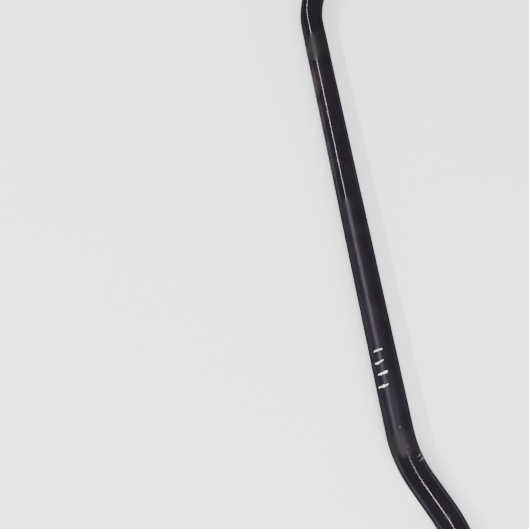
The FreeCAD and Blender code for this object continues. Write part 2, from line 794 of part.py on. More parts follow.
make_bar()
for side, sign in (("right", ""), ("left", "-")):
    make_retaining_ring(side, sign)
    make_bush(side, sign)
    make_bracket(side, sign)
    make_link(side, sign)
doc.recompute()

failed = [item.Name for item in doc.Objects if {"Invalid", "Error"} & set(item.State)]
if failed:
    raise RuntimeError("failed objects: " + ", ".join(failed))
for piece in placed:
    shape = piece.Shape
    if shape.isNull() or not shape.isValid() or len(shape.Solids) != 1:
        raise RuntimeError("%s isn't one valid solid" % piece.Label)

os.makedirs("parts", exist_ok=True)
for piece in placed:
    piece.Shape.exportStep("parts/%s.step" % piece.Label)
    print("%-28s %10.1f mm3" % (piece.Label, piece.Shape.Volume))
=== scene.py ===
"""Looks of the sway bar assembly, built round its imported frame.

Lengths are in metres, in the row frame: +X to the vehicle's right, +Y towards the arms' ends, +Z up.
"""
import math

import bmesh
import bpy
from mathutils import Matrix, Vector


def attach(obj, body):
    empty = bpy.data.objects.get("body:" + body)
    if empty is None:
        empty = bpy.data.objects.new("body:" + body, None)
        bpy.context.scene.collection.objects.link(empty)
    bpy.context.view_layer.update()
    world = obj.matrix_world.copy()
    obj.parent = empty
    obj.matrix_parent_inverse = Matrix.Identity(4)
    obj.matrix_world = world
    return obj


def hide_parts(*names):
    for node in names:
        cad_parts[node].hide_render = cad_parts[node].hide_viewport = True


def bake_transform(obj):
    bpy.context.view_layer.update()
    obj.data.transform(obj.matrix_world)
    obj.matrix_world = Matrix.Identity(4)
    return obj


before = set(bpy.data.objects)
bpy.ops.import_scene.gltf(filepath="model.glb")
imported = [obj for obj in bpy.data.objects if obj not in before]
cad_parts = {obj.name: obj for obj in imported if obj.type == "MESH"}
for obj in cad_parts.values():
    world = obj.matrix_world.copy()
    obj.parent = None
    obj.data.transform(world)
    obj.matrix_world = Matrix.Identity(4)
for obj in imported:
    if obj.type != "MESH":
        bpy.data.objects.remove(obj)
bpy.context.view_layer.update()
MM = 0.001
SIDES = {"right": 1, "left": -1}

# ---------------------------------------------------------------- sizes shared with the frame

BAR_R = 12.0 * MM
AXIS = Vector((0, 0, 18.0 * MM))          # bush axis, on the bolting plane's middle
CENTRE_HALF = 229.0 * MM
JOG_ANGLE = math.radians(25.4)
JOG_LEG = 68.5 * MM
JOG_R = 95.0 * MM
JOG_RISE = JOG_LEG * math.sin(JOG_ANGLE)
CORNER_X = 432.0 * MM
SPLAY = math.radians(28.0)
ARM_R = 70.0 * MM
EYE = Vector((502.0 * MM, 222.0 * MM, AXIS.z))
EYE_R = 18.0 * MM
EYE_HALF = 6.0 * MM
EYE_HOLE_R = 5.25 * MM
FORGE_START = EYE.y - EYE_R - 32.0 * MM
SEAT_X = 345.0 * MM
BUSH_R = 20.0 * MM
BUSH_LENGTH = 40.0 * MM
LIP_HEIGHT = 2.2 * MM
LIP_WIDTH = 4.8 * MM
SLIT = 0.6 * MM
STRAP = 3.0 * MM
STRAP_WIDTH = 30.0 * MM
CROWN_R = BUSH_R + 0.1 * MM + STRAP / 2   # of the strap's mid-line over the bush
FOOT_REACH = 50.0 * MM
FOOT_BEND_R = 3.0 * MM + STRAP / 2        # of the strap's mid-line
FOOT_ROUND = 12.0 * MM
BOLT_Y = 38.0 * MM
BOLT_HOLE_R = 5.25 * MM
RING_X = 372.5 * MM
RING_HALF = 6.0 * MM
RING_WALL = 4.0 * MM
RING_GAP = 2.5 * MM
BALL_X = 532.0 * MM
BALL_R = 8.0 * MM
LINK = 270.0 * MM
ROD_R = 5.5 * MM
WELD_LEG = 2.0 * MM
HOUSING_R = 14.0 * MM
THREAD_R = 5.0 * MM
THREAD_BEVEL = 1.2 * MM
PITCH = 1.5 * MM
STUD_TIP = 50.0 * MM                      # from the ball's centre
SOCKET_HALF = 2.5 * MM                    # half of the key socket's width across flats
SOCKET_DEPTH = 5.0 * MM
NUT_FLATS = 15.0 * MM
ROD_POINTS = 72                           # round the rod's mesh

# ---------------------------------------------------------------- marks in the bar's paint

# chips: place along and across the bar, size, brightness of the bared metal
CHIPS = [(0.1102, -0.0265, 0.0006, 0.05), (0.2037, -0.0301, 0.0008, 0.12),
         (0.2190, -0.0270, 0.0007, 0.08), (0.2480, -0.0150, 0.0006, 0.06),
         (-0.0310, -0.0300, 0.0006, 0.05), (-0.2210, -0.0290, 0.0007, 0.07),
         (0.3050, 0.0020, 0.0010, 0.14), (-0.2930, -0.0030, 0.0009, 0.12)]
# fine scratches: place along and across the bar, half length
SCRATCHES = [(0.2305, -0.0177, 0.0024), (0.2275, -0.0195, 0.0014), (-0.3010, 0.0030, 0.0030)]
# short plain dashes of white marker paint: place along the bar, and from where to where across it
DASHES = [(0.1395, -0.0375, -0.0312), (0.1495, -0.0382, -0.0322), (0.1590, -0.0378, -0.0308),
          (0.1695, -0.0392, -0.0325)]
# lengths with a finish of their own: from where to where along the bar, and how softly they end
SATIN = (0.000, 0.205, 0.008)
FAR_BAND = (-0.189, -0.164, 0.006)
NEAR_BAND = (0.210, 0.222, 0.007)
DUSTY = (-0.170, -0.050, 0.020)
SMOOTHEST = (-0.290, 0.300, 0.030)
WRINKLED = (0.228, 0.252, 0.006)
# dusty side of the bar: from where to where across it, and how softly it ends
DUSTY_SIDE = (-0.0440, -0.0315, 0.0025)
# dent: place along and across the bar, size
DENT = (0.2745, -0.0085, 0.0022)
MIDDLE_Y = -0.029                         # of the bar's middle length, across the car


# ---------------------------------------------------------------- mesh helpers

def new_object(name, vertices, faces):
    """A mesh object in the scene."""
    mesh = bpy.data.meshes.new(name)
    mesh.from_pydata([tuple(v) for v in vertices], [], faces)
    mesh.validate()
    piece = bpy.data.objects.new(name, mesh)
    bpy.context.scene.collection.objects.link(piece)
    return piece


def skin(name, rings, loop=False):
    """A closed solid through rings of points. A loop joins the last ring to the first one."""
    count = len(rings[0])
    vertices = [point for ring in rings for point in ring]
    faces = []
    spans = len(rings) if loop else len(rings) - 1
    for i in range(spans):
        a, b = i * count, (i + 1) % len(rings) * count
        for k in range(count):
            n = (k + 1) % count
            faces.append((a + k, a + n, b + n, b + k))
    if not loop:
        faces.append(tuple(reversed(range(count))))
        faces.append(tuple(range(len(vertices) - count, len(vertices))))
    return new_object(name, vertices, faces)


def outward(piece):
    """Turn a closed mesh's faces outward."""
    work = bmesh.new()
    work.from_mesh(piece.data)
    bmesh.ops.recalc_face_normals(work, faces=work.faces)
    work.to_mesh(piece.data)
    work.free()
    return piece


def smooth(piece, degrees):
    """Smooth shading, with edges sharper than the angle kept crisp."""
    mesh = piece.data
    mesh.polygons.foreach_set("use_smooth", [True] * len(mesh.polygons))
    mesh.set_sharp_from_angle(angle=math.radians(degrees))
    mesh.update()


def carve(piece, *tools, operation="DIFFERENCE"):
    """Cut closed tools out of a piece, or join them to it, and remove the tools."""
    for tool in tools:
        modifier = piece.modifiers.new("cut", "BOOLEAN")
        modifier.operation = operation
        modifier.solver = "EXACT"
        modifier.object = tool
        bpy.context.view_layer.update()
        solid = piece.evaluated_get(bpy.context.evaluated_depsgraph_get())
        mesh = bpy.data.meshes.new_from_object(solid)
        piece.modifiers.clear()
        piece.data = mesh
        bpy.data.objects.remove(tool)


def rounded(corners, steps=4):
    """An outline of (u, v, radius) corners with each corner that has a radius turned into an arc."""
    points = []
    count = len(corners)
    for k, (u, v, radius) in enumerate(corners):
        here = Vector((u, v))
        back = Vector(corners[k - 1][:2]) - here
        ahead = Vector(corners[(k + 1) % count][:2]) - here
        if radius <= 0 or back.length < 1e-9 or ahead.length < 1e-9:
            points.append((u, v))
            continue
        half = back.angle(ahead) / 2
        reach = min(radius / math.tan(half), 0.49 * back.length, 0.49 * ahead.length)
        start = here + back.normalized() * reach
        end = here + ahead.normalized() * reach
        for step in range(steps + 1):
            t = step / steps
            points.append(tuple(start * (1 - t) ** 2 + here * 2 * t * (1 - t) + end * t * t))
    return points


def turned(name, profile, at=Matrix(), segments=64, loop=True, shape=None, socket=()):
    """A turned solid from a profile of (radius, height) points round the local Z axis.

    A shape function may change each point's radius from (radius, height, angle, row). A socket is a
    list of (height, inradius) levels of a hexagon hole in the last end.
    """
    angles = [2 * math.pi * k / segments for k in range(segments)]
    rings = []
    for row, (radius, height) in enumerate(profile):
        ring = []
        for angle in angles:
            r = shape(radius, height, angle, row) if shape else radius
            ring.append(at @ Vector((r * math.cos(angle), r * math.sin(angle), height)))
        rings.append(ring)
    for height, inradius in socket:
        reaches = [hexagon(angle, 2 * inradius) for angle in angles]
        rings.append([at @ Vector((reach * math.cos(angle), reach * math.sin(angle), height))
                      for reach, angle in zip(reaches, angles)])
    return outward(skin(name, rings, loop))


def box_piece(name, low, high):
    """A plain block, used only as a cutting tool."""
    x, y, z = zip(low, high)
    ring = [(0, 0), (1, 0), (1, 1), (0, 1)]
    return outward(skin(name, [[Vector((x[i], y[j], z[k])) for i, j in ring] for k in (0, 1)]))


def finish_piece(piece, body, material, replaces, angle):
    """Give a piece its material, shading and body if any, and hide the CAD nodes that it stands for."""
    piece.data.materials.clear()
    piece.data.materials.append(material)
    smooth(piece, angle)
    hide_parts(*replaces)
    if body:
        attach(piece, body)


# ---------------------------------------------------------------- material helpers

class Shader:
    """A node material, with short ways to add and join its nodes. Coordinates are the row frame's."""

    def __init__(self, name):
        self.material = bpy.data.materials.new(name)
        self.material.use_nodes = True
        self.tree = self.material.node_tree
        self.surface = self.tree.nodes["Principled BSDF"]
        self.place = self.add("ShaderNodeTexCoord").outputs["Object"]
        self.split = self.add("ShaderNodeSeparateXYZ")
        self.feed(self.split.inputs[0], self.place)

    def add(self, kind, **settings):
        """A new node of that kind."""
        node = self.tree.nodes.new(kind)
        for key, setting in settings.items():
            setattr(node, key, setting)
        return node

    def feed(self, socket, source):
        """Join an output to a socket, or set the socket to a plain value."""
        if isinstance(source, bpy.types.NodeSocket):
            self.tree.links.new(source, socket)
        else:
            socket.default_value = source

    def math(self, operation, first, second, clamp=False):
        """One step of arithmetic on outputs or plain numbers."""
        node = self.add("ShaderNodeMath", operation=operation, use_clamp=clamp)
        self.feed(node.inputs[0], first)
        self.feed(node.inputs[1], second)
        return node.outputs[0]

    def noise(self, scale, detail=4.0, rough=0.55, stretch=(1, 1, 1)):
        """Noise from 0 to 1 with that many features per metre; stretch scales it along each axis."""
        mapping = self.add("ShaderNodeMapping")
        self.feed(mapping.inputs["Vector"], self.place)
        mapping.inputs["Scale"].default_value = stretch
        node = self.add("ShaderNodeTexNoise")
        self.feed(node.inputs["Vector"], mapping.outputs[0])
        node.inputs["Scale"].default_value = scale
        node.inputs["Detail"].default_value = detail
        node.inputs["Roughness"].default_value = rough
        return node.outputs["Fac"]

    def ramp(self, source, low, high, start=0.0, end=1.0):
        """Source mapped from low..high to start..end, and held outside."""
        node = self.add("ShaderNodeMapRange")
        self.feed(node.inputs["Value"], source)
        for key, number in (("From Min", low), ("From Max", high), ("To Min", start), ("To Max", end)):
            node.inputs[key].default_value = number
        return node.outputs[0]

    def mix(self, share, first, second):
        """Colour from first to second as share goes from 0 to 1."""
        node = self.add("ShaderNodeMix", data_type="RGBA")
        self.feed(node.inputs[0], share)
        for socket, source in ((node.inputs[6], first), (node.inputs[7], second)):
            self.feed(socket, source if isinstance(source, bpy.types.NodeSocket) else (*source, 1.0))
        return node.outputs[2]

    def blend(self, share, first, second):
        """Number from first to second as share goes from 0 to 1."""
        node = self.add("ShaderNodeMix", data_type="FLOAT")
        self.feed(node.inputs[0], share)
        self.feed(node.inputs[2], first)
        self.feed(node.inputs[3], second)
        return node.outputs[0]

    def bump(self, height, distance, strength):
        """Lay a height over the bumps that the surface has so far."""
        node = self.add("ShaderNodeBump")
        self.feed(node.inputs["Height"], height)
        node.inputs["Distance"].default_value = distance
        node.inputs["Strength"].default_value = strength
        if self.surface.inputs["Normal"].is_linked:
            self.feed(node.inputs["Normal"], self.surface.inputs["Normal"].links[0].from_socket)
        self.feed(self.surface.inputs["Normal"], node.outputs[0])

    def axis(self, name):
        """One coordinate of the place, X, Y or Z."""
        return self.split.outputs[name]

    def within(self, source, low, high, soft):
        """One where the source is between low and high, fading to none over soft."""
        rise = self.ramp(source, low - soft, low)
        fall = self.ramp(source, high, high + soft, 1.0, 0.0)
        return self.math("MULTIPLY", rise, fall)

    def near(self, x, y, reach):
        """One on the upper side within a ragged spot round a point, none elsewhere."""
        gap = self.add("ShaderNodeVectorMath", operation="DISTANCE")
        self.feed(gap.inputs[0], self.place)
        gap.inputs[1].default_value = (x, y, AXIS.z + BAR_R)
        ragged = self.ramp(self.noise(1500, 2), 0.3, 0.7, 0, reach * 0.8)
        gap = self.math("ADD", gap.outputs["Value"], ragged)
        return self.ramp(gap, reach * 0.8, reach * 1.2, 1.0, 0.0)

    def set(self, **sockets):
        """Set the surface's sockets, named with _ for each space, to outputs or plain values."""
        for key, source in sockets.items():
            self.feed(self.surface.inputs[key.replace("_", " ")], source)


def grey(level, warm=0.0):
    """A near-neutral colour in linear light."""
    return (level * (1 + warm), level, level * (1 - warm))


# ---------------------------------------------------------------- materials

def on_top(look):
    """One on the bar's upper side, fading to none at the height of its axis."""
    return look.ramp(look.axis("Z"), 0.017, 0.019)


def brown_dust(look, place, fine):
    """Share of brown dust, in blotches on the dusty side of the dusty length."""
    blotches = look.math("MULTIPLY", look.within(place, *DUSTY), look.ramp(look.noise(48, 6), 0.42, 0.66))
    side = look.math("MULTIPLY", look.within(look.axis("Y"), *DUSTY_SIDE), look.ramp(fine, 0.35, 0.65))
    return look.math("MULTIPLY", look.math("MULTIPLY", blotches, side), 0.3)


def scratch(look, x, y, reach):
    """Share of one fine scratch, which runs across the bar at a slant."""
    across = look.axis("Y")
    slant = look.math("MULTIPLY", look.math("SUBTRACT", across, y), 0.45)
    line = look.within(look.math("ADD", look.axis("X"), slant), x - 0.0001, x + 0.0001, 0.0002)
    line = look.math("MULTIPLY", line, look.within(across, y - reach, y + reach, 0.0006))
    return look.math("MULTIPLY", line, on_top(look))


def marker_dashes(look):
    """Share of white marker paint: short plain dashes, unsteady, with gaps where the pen ran thin."""
    half_width = 0.00042
    marks = 0.0
    for x, low, high in DASHES:
        slant = look.math("MULTIPLY", look.math("SUBTRACT", look.axis("Y"), (low + high) / 2), 0.22)
        shaky = look.ramp(look.noise(520, 2), 0.3, 0.7, -0.0007, 0.0007)
        line = look.math("ADD", look.math("ADD", look.axis("X"), slant), shaky)
        dash = look.math("MULTIPLY", look.within(line, x - half_width, x + half_width, 0.0003),
                         look.within(look.axis("Y"), low, high, 0.0006))
        marks = look.math("MAXIMUM", marks, dash)
    marks = look.math("MULTIPLY", marks, on_top(look))
    return look.math("MULTIPLY", marks, look.ramp(look.noise(1300, 3), 0.30, 0.42))


def bar_paint():
    """Black paint over steel: gloss, satin and dull lengths, dust, chips, wrinkles and marker dashes."""
    look = Shader("bar_paint")
    cloud = look.noise(60, 5)
    fine = look.noise(900, 3)
    # place along the bar, made ragged and slanting so that the lengths don't end in straight lines
    ragged = look.ramp(look.noise(140, 3), 0.3, 0.7, -0.003, 0.003)
    slant = look.math("MULTIPLY", look.math("SUBTRACT", look.axis("Y"), MIDDLE_Y), 0.25)
    place = look.math("ADD", look.math("ADD", look.axis("X"), ragged), slant)
    satin = look.within(place, *SATIN)
    bands = look.math("MAXIMUM", look.within(place, *FAR_BAND), look.within(place, *NEAR_BAND))
    dust = brown_dust(look, place, fine)
    marks = marker_dashes(look)

    base = look.mix(look.ramp(cloud, 0.35, 0.7), (0.0200, 0.0180, 0.0225), (0.0260, 0.0232, 0.0290))
    base = look.mix(look.math("MULTIPLY", satin, 0.1), base, (0.0, 0.0, 0.0))
    base = look.mix(dust, base, (0.050, 0.026, 0.022))
    base = look.mix(bands, base, look.mix(fine, (0.020, 0.0185, 0.0205), (0.029, 0.0265, 0.0285)))
    specks = look.ramp(look.noise(420, 2, 0.5), 0.745, 0.765)
    base = look.mix(specks, base, (0.06, 0.055, 0.055))
    for x, y, reach, level in CHIPS:
        base = look.mix(look.near(x, y, reach), base, grey(level))
    for x, y, reach in SCRATCHES:
        base = look.mix(scratch(look, x, y, reach), base, grey(0.30))
    look.set(Base_Color=look.mix(marks, base, (0.80, 0.81, 0.84)))
    # black paint is made as a dark metal, and the tint holds down what its edges reflect of the floor
    dull = look.math("MAXIMUM", marks, look.math("MULTIPLY", dust, 1.4, clamp=True))
    look.set(Metallic=look.math("SUBTRACT", 1.0, dull), Specular_Tint=(0.43, 0.43, 0.43, 1.0))

    orange_peel = look.ramp(cloud, 0.3, 0.7, 0.17, 0.27)
    gloss = look.ramp(cloud, 0.35, 0.75, 0.06, 0.10)
    rough = look.blend(look.within(look.axis("X"), *SMOOTHEST), orange_peel, gloss)
    rough = look.blend(satin, rough, look.ramp(cloud, 0.3, 0.7, 0.35, 0.41))
    rough = look.blend(bands, rough, 0.50)
    rough = look.blend(dust, rough, 0.45)
    look.set(Roughness=look.blend(marks, rough, 0.7))
    wrinkles = look.math("MULTIPLY", look.noise(700, 4), look.within(place, *WRINKLED))
    look.bump(wrinkles, 0.0004, 0.22)
    look.bump(look.near(*DENT), 0.0004, 0.5)
    look.bump(look.noise(330, 3), 0.0004, 0.10)
    look.bump(fine, 0.0002, 0.06)
    return look.material


def coated_steel(name, level, rough):
    """Thin black electro-coat on pressed or forged steel."""
    look = Shader(name)
    cloud = look.noise(90, 5)
    fine = look.noise(1500, 3)
    look.set(Base_Color=look.mix(look.ramp(cloud, 0.3, 0.75), grey(level), grey(level * 1.5, 0.02)),
             Roughness=look.ramp(look.math("ADD", cloud, fine), 0.6, 1.4, rough - 0.06, rough + 0.1),
             Specular_IOR_Level=0.3)
    look.bump(fine, 0.0003, 0.12)
    look.bump(look.noise(260, 2), 0.0004, 0.06)
    return look.material


def plated_steel(name, colour, rough):
    """Zinc-plated steel with slight blotches."""
    look = Shader(name)
    cloud = look.noise(220, 5)
    fine = look.noise(2400, 2)
    warm = tuple(part * share for part, share in zip(colour, (0.86, 0.80, 0.66)))
    look.set(Base_Color=look.mix(look.ramp(cloud, 0.42, 0.72), colour, warm), Metallic=1.0,
             Roughness=look.ramp(look.math("ADD", cloud, fine), 0.6, 1.4, rough - 0.05, rough + 0.12))
    look.bump(fine, 0.0002, 0.2)
    return look.material


def turned_aluminium(name):
    """Bare aluminium with fine turning marks."""
    look = Shader(name)
    marks = look.noise(160, 3, 0.5, (26, 1, 1))
    cloud = look.ramp(look.noise(180, 4), 0.35, 0.7)
    look.set(Base_Color=look.mix(cloud, (0.44, 0.445, 0.45), (0.33, 0.33, 0.335)), Metallic=1.0,
             Roughness=look.ramp(marks, 0.3, 0.7, 0.28, 0.42))
    look.bump(marks, 0.0003, 0.3)
    return look.material


def rubber(name, level, rough):
    """Moulded rubber: fine grain, and a greyish bloom in blotches."""
    look = Shader(name)
    bloom = look.ramp(look.noise(110, 6, 0.6), 0.45, 0.75)
    grain = look.noise(2600, 3)
    look.set(Base_Color=look.mix(bloom, grey(level), grey(level * 2.1, 0.02)),
             Roughness=look.ramp(grain, 0.3, 0.7, rough - 0.06, rough + 0.1),
             Specular_IOR_Level=0.22)
    look.bump(grain, 0.00025, 0.35)
    look.bump(look.noise(380, 3), 0.0006, 0.12)
    return look.material


def acetal(name):
    """Natural white bearing plastic with a trace of grease."""
    look = Shader(name)
    smear = look.ramp(look.noise(260, 4), 0.4, 0.7)
    look.set(Base_Color=look.mix(smear, (0.80, 0.78, 0.72), (0.66, 0.62, 0.52)),
             Roughness=look.ramp(smear, 0, 1, 0.42, 0.25))
    return look.material


def floor_paper():
    """Plain pale studio paper."""
    look = Shader("floor_paper")
    look.set(Base_Color=look.mix(look.noise(6, 3), (0.91, 0.91, 0.91), (0.94, 0.94, 0.94)), Roughness=0.9)
    return look.material


PAINT = bar_paint()
BRACKET_COAT = coated_steel("bracket_coat", 0.0065, 0.36)
BUSH_RUBBER = rubber("bush_rubber", 0.0085, 0.62)
RING_METAL = turned_aluminium("ring_metal")
ROD_COAT = coated_steel("rod_coat", 0.0050, 0.30)
HOUSING_COAT = coated_steel("housing_coat", 0.0055, 0.32)
CAP_METAL = plated_steel("cap_metal", (0.36, 0.355, 0.335), 0.34)
STUD_METAL = plated_steel("stud_metal", (0.38, 0.375, 0.355), 0.28)
BOOT_RUBBER = rubber("boot_rubber", 0.0075, 0.52)
CLAMP_METAL = plated_steel("clamp_metal", (0.42, 0.42, 0.42), 0.3)
NUT_METAL = plated_steel("nut_metal", (0.38, 0.365, 0.315), 0.3)
SHELL_PLASTIC = acetal("shell_plastic")


# ---------------------------------------------------------------- bar

def bar_route():
    """Points and headings along the right half of the bar's axis, from the middle to the forging."""
    straight_step, bend_step = 6 * MM, 2.5 * MM
    jog_cut = JOG_R * math.tan(JOG_ANGLE / 2)
    turn = math.pi / 2 - SPLAY
    corner_cut = ARM_R * math.tan(turn / 2)
    end_cut = ARM_R * math.tan(SPLAY / 2)
    arm = (EYE.x - CORNER_X) / math.sin(SPLAY)
    seat = CORNER_X - CENTRE_HALF - JOG_LEG * math.cos(JOG_ANGLE) - jog_cut - corner_cut
    tail = FORGE_START - (EYE.x - CORNER_X) / math.tan(SPLAY) - end_cut
    moves = [(CENTRE_HALF - jog_cut, JOG_ANGLE, JOG_R), (JOG_LEG - 2 * jog_cut, -JOG_ANGLE, JOG_R),
             (seat, turn, ARM_R), (arm - corner_cut - end_cut, SPLAY, ARM_R), (tail, 0, ARM_R)]
    here = Vector((0, -JOG_RISE, AXIS.z))
    heading = 0.0
    stations = [(here.copy(), heading)]
    for length, bend, radius in moves:
        steps = max(1, round(length / straight_step))
        for _ in range(steps):
            here = here + Vector((math.cos(heading), math.sin(heading), 0)) * (length / steps)
            stations.append((here.copy(), heading))
        steps = round(abs(bend) * radius / bend_step)
        for _ in range(steps):
            part = bend / steps
            chord = 2 * radius * math.sin(abs(part) / 2)
            middle = heading + part / 2
            here = here + Vector((math.cos(middle), math.sin(middle), 0)) * chord
            heading += part
            stations.append((here.copy(), heading))
    return stations


def oblong(half_u, half_v, corner, count):
    """Points evenly spread round a rectangle with rounded corners, starting on the +u side."""
    corner = min(corner, half_u, half_v)
    flat_u, flat_v = half_u - corner, half_v - corner
    bend = math.pi / 2 * corner
    total = 4 * (flat_u + flat_v + bend)
    legs = [(False, flat_v), (True, bend), (False, 2 * flat_u), (True, bend), (False, 2 * flat_v),
            (True, bend), (False, 2 * flat_u), (True, bend), (False, flat_v)]
    points = []
    for k in range(count):
        left = total * k / count
        here, direction = Vector((half_u, 0)), 0
        for curved, length in legs:
            out = Vector((math.cos(direction), math.sin(direction)))
            ahead = Vector((math.cos(direction + math.pi / 2), math.sin(direction + math.pi / 2)))
            if left <= length + 1e-12:
                break
            left -= length
            if curved:
                here = here - out * corner + ahead * corner
                direction += math.pi / 2
            else:
                here = here + ahead * length
        if curved:
            turn = left / corner
            points.append(here + out * corner * (math.cos(turn) - 1) + ahead * corner * math.sin(turn))
        else:
            points.append(here + ahead * left)
    return points


def ease(t):
    """From 0 to 1 with level ends."""
    t = min(max(t, 0.0), 1.0)
    return t * t * (3 - 2 * t)


def eye_section(y):
    """Half thickness, half height and corner radius of the forged end at a distance forward."""
    flattening, edge = 28 * MM, 2.6 * MM
    t = ease((y - FORGE_START) / flattening)
    past = y - EYE.y
    swell = BAR_R + (EYE_R - BAR_R) * ease((y - FORGE_START) / (EYE.y - FORGE_START))
    half_z = swell if past < 0 else math.sqrt(max(EYE_R ** 2 - past ** 2, 0.0))
    half_x = BAR_R + (EYE_HALF - BAR_R) * t
    thin = min(1.0, 0.55 + (EYE_R - max(past, 0)) / edge)
    return half_x * thin, half_z, BAR_R + (edge - BAR_R) * t


def make_bar():
    """The bent bar with its two forged and pierced eyes, as one smooth swept mesh."""
    count, forge_steps, tip_steps = 96, 40, 30
    half = []
    for place, heading in bar_route():
        out = Vector((math.sin(heading), -math.cos(heading), 0))
        half.append([place + (out * math.cos(2 * math.pi * k / count)
                              + Vector((0, 0, 1)) * math.sin(2 * math.pi * k / count)) * BAR_R
                     for k in range(count)])
    run = EYE.y - FORGE_START
    ends = [FORGE_START + run * step / forge_steps for step in range(1, forge_steps + 1)]
    ends += [EYE.y + EYE_R * math.sin(math.pi / 2 * step / (tip_steps + 0.5))
             for step in range(1, tip_steps + 1)]
    for y in ends:
        outline = oblong(*eye_section(y), count)
        half.append([Vector((EYE.x + u, y, EYE.z + v)) for u, v in outline])
    mirrored = [[Vector((-p.x, p.y, p.z)) for p in ring] for ring in reversed(half[1:])]
    bar = outward(skin("bent_bar", mirrored + half))
    for sign in SIDES.values():
        spot = Matrix.Translation((sign * EYE.x, EYE.y, EYE.z)) @ Matrix.Rotation(math.pi / 2, 4, "Y")
        drill = [(EYE_HOLE_R, -20 * MM), (EYE_HOLE_R, 20 * MM)]
        carve(bar, turned("drill", drill, spot, loop=False))
    finish_piece(bar, "bar_assembly", PAINT, ["bar"], 40)


# ---------------------------------------------------------------- bracket and bush

def strap_route():
    """Mid-line of the bent strap as (y, z, heading) with the distance left to the nearer foot's tip."""
    mid = STRAP / 2
    foot = FOOT_REACH - CROWN_R - FOOT_BEND_R
    leg = AXIS.z - mid - FOOT_BEND_R
    moves = [(foot, math.pi / 2, FOOT_BEND_R, 16), (leg, 0, FOOT_BEND_R, 4), (0, -math.pi, CROWN_R, 0),
             (leg, math.pi / 2, FOOT_BEND_R, 4), (foot, 0, FOOT_BEND_R, 16)]
    y, z, heading, run = -FOOT_REACH, mid, 0.0, 0.0
    stations = [(y, z, heading, run)]

    def forward(length, angle):
        """Move on along the mid-line."""
        nonlocal y, z, run
        y += length * math.cos(angle)
        z += length * math.sin(angle)
        run += length

    for length, turn, radius, steps in moves:
        for _ in range(steps):
            forward(length / steps, heading)
            stations.append((y, z, heading, run))
        steps = round(abs(turn) / math.radians(7.5))
        for _ in range(steps):
            part = turn / steps
            forward(2 * radius * math.sin(abs(part) / 2), heading + part / 2)
            heading += part
            stations.append((y, z, heading, run))
    return [(y, z, heading, min(s, run - s)) for y, z, heading, s in stations]


def strap_section(y, z, heading, left):
    """Outline of the strap at one place, narrower within the foot's rounded tip."""
    half, thick = STRAP_WIDTH / 2, STRAP / 2
    cut = FOOT_ROUND - left
    reach = half - FOOT_ROUND + math.sqrt(FOOT_ROUND ** 2 - cut ** 2) if cut > 0 else half
    reach = max(reach, half - FOOT_ROUND + 0.05 * MM)
    edge = 0.8 * MM
    corners = [(-reach, -thick, edge), (reach, -thick, edge), (reach, thick, edge), (-reach, thick, edge)]
    across = Vector((0, -math.sin(heading), math.cos(heading)))
    return [Vector((u, y, z)) + across * v for u, v in rounded(corners, 3)]


def foot_rib(turn):
    """Rounded rib across the bend between a foot and the strap's side."""
    half_width, half_height = 3, 2.4      # in millimetres
    sunk = 1.6 * MM
    foot = Vector((0, turn * (CROWN_R + 6.4 * MM), STRAP * 0.78))
    leg = Vector((0, turn * (CROWN_R - 0.4 * MM), STRAP + 8.4 * MM))
    ahead = (leg - foot).normalized()
    up = Vector((0, turn * ahead.z, -turn * ahead.y))
    rings = []
    for step in range(9):
        t = step / 8
        middle = foot.lerp(leg, t) - up * sunk
        swell = 0.75 + 0.25 * math.sin(math.pi * t)
        ring = []
        for k in range(20):
            angle = 2 * math.pi * k / 20
            ring.append(middle + Vector((1, 0, 0)) * math.cos(angle) * half_width * MM * swell
                        + up * math.sin(angle) * half_height * MM * swell)
        rings.append(ring)
    return outward(skin("rib", rings))


def bolt_drill(turn):
    """Cutting tool for a foot's bolt hole, which takes the edges off both ends of the hole."""
    face, edge = STRAP / 2, 0.35 * MM
    wide = BOLT_HOLE_R + edge
    profile = [(wide, -5 * MM), (wide, -face), (BOLT_HOLE_R, edge - face), (BOLT_HOLE_R, face - edge),
               (wide, face), (wide, 5 * MM)]
    return turned("drill", profile, Matrix.Translation((0, turn * BOLT_Y, face)), 48, False)


def make_bracket(side, sign):
    """Pressed strap: rounded strip edges, rounded feet, and a stiffening rib in each foot's bend."""
    rings = [strap_section(*station) for station in strap_route()]
    bracket = outward(skin(side + "_pressed_bracket", rings))
    carve(bracket, *[foot_rib(turn) for turn in (1, -1)], operation="UNION")
    carve(bracket, *[bolt_drill(turn) for turn in (1, -1)])
    bracket.data.transform(Matrix.Translation((sign * SEAT_X, 0, 0)))
    finish_piece(bracket, side + "_mounting", BRACKET_COAT, [side + "_bracket"], 30)


def d_outline(radius):
    """Points round the bush's D shape, from its base's left corner over the crown."""
    corner = 1.6 * MM
    corner_steps, crown_steps, base_steps = 6, 92, 14
    points = []
    for step in range(corner_steps + 1):
        angle = math.pi * 1.5 - math.pi / 2 * step / corner_steps
        points.append(Vector((corner - radius + corner * math.cos(angle),
                              corner + corner * math.sin(angle))))
    for step in range(crown_steps + 1):
        angle = math.pi - math.pi * step / crown_steps
        points.append(Vector((radius * math.cos(angle), AXIS.z + radius * math.sin(angle))))
    for step in range(corner_steps + 1):
        angle = -math.pi / 2 * step / corner_steps
        points.append(Vector((radius - corner + corner * math.cos(angle),
                              corner + corner * math.sin(angle))))
    for step in range(1, base_steps):
        points.append(Vector((radius - corner - 2 * (radius - corner) * step / base_steps, 0)))
    return points


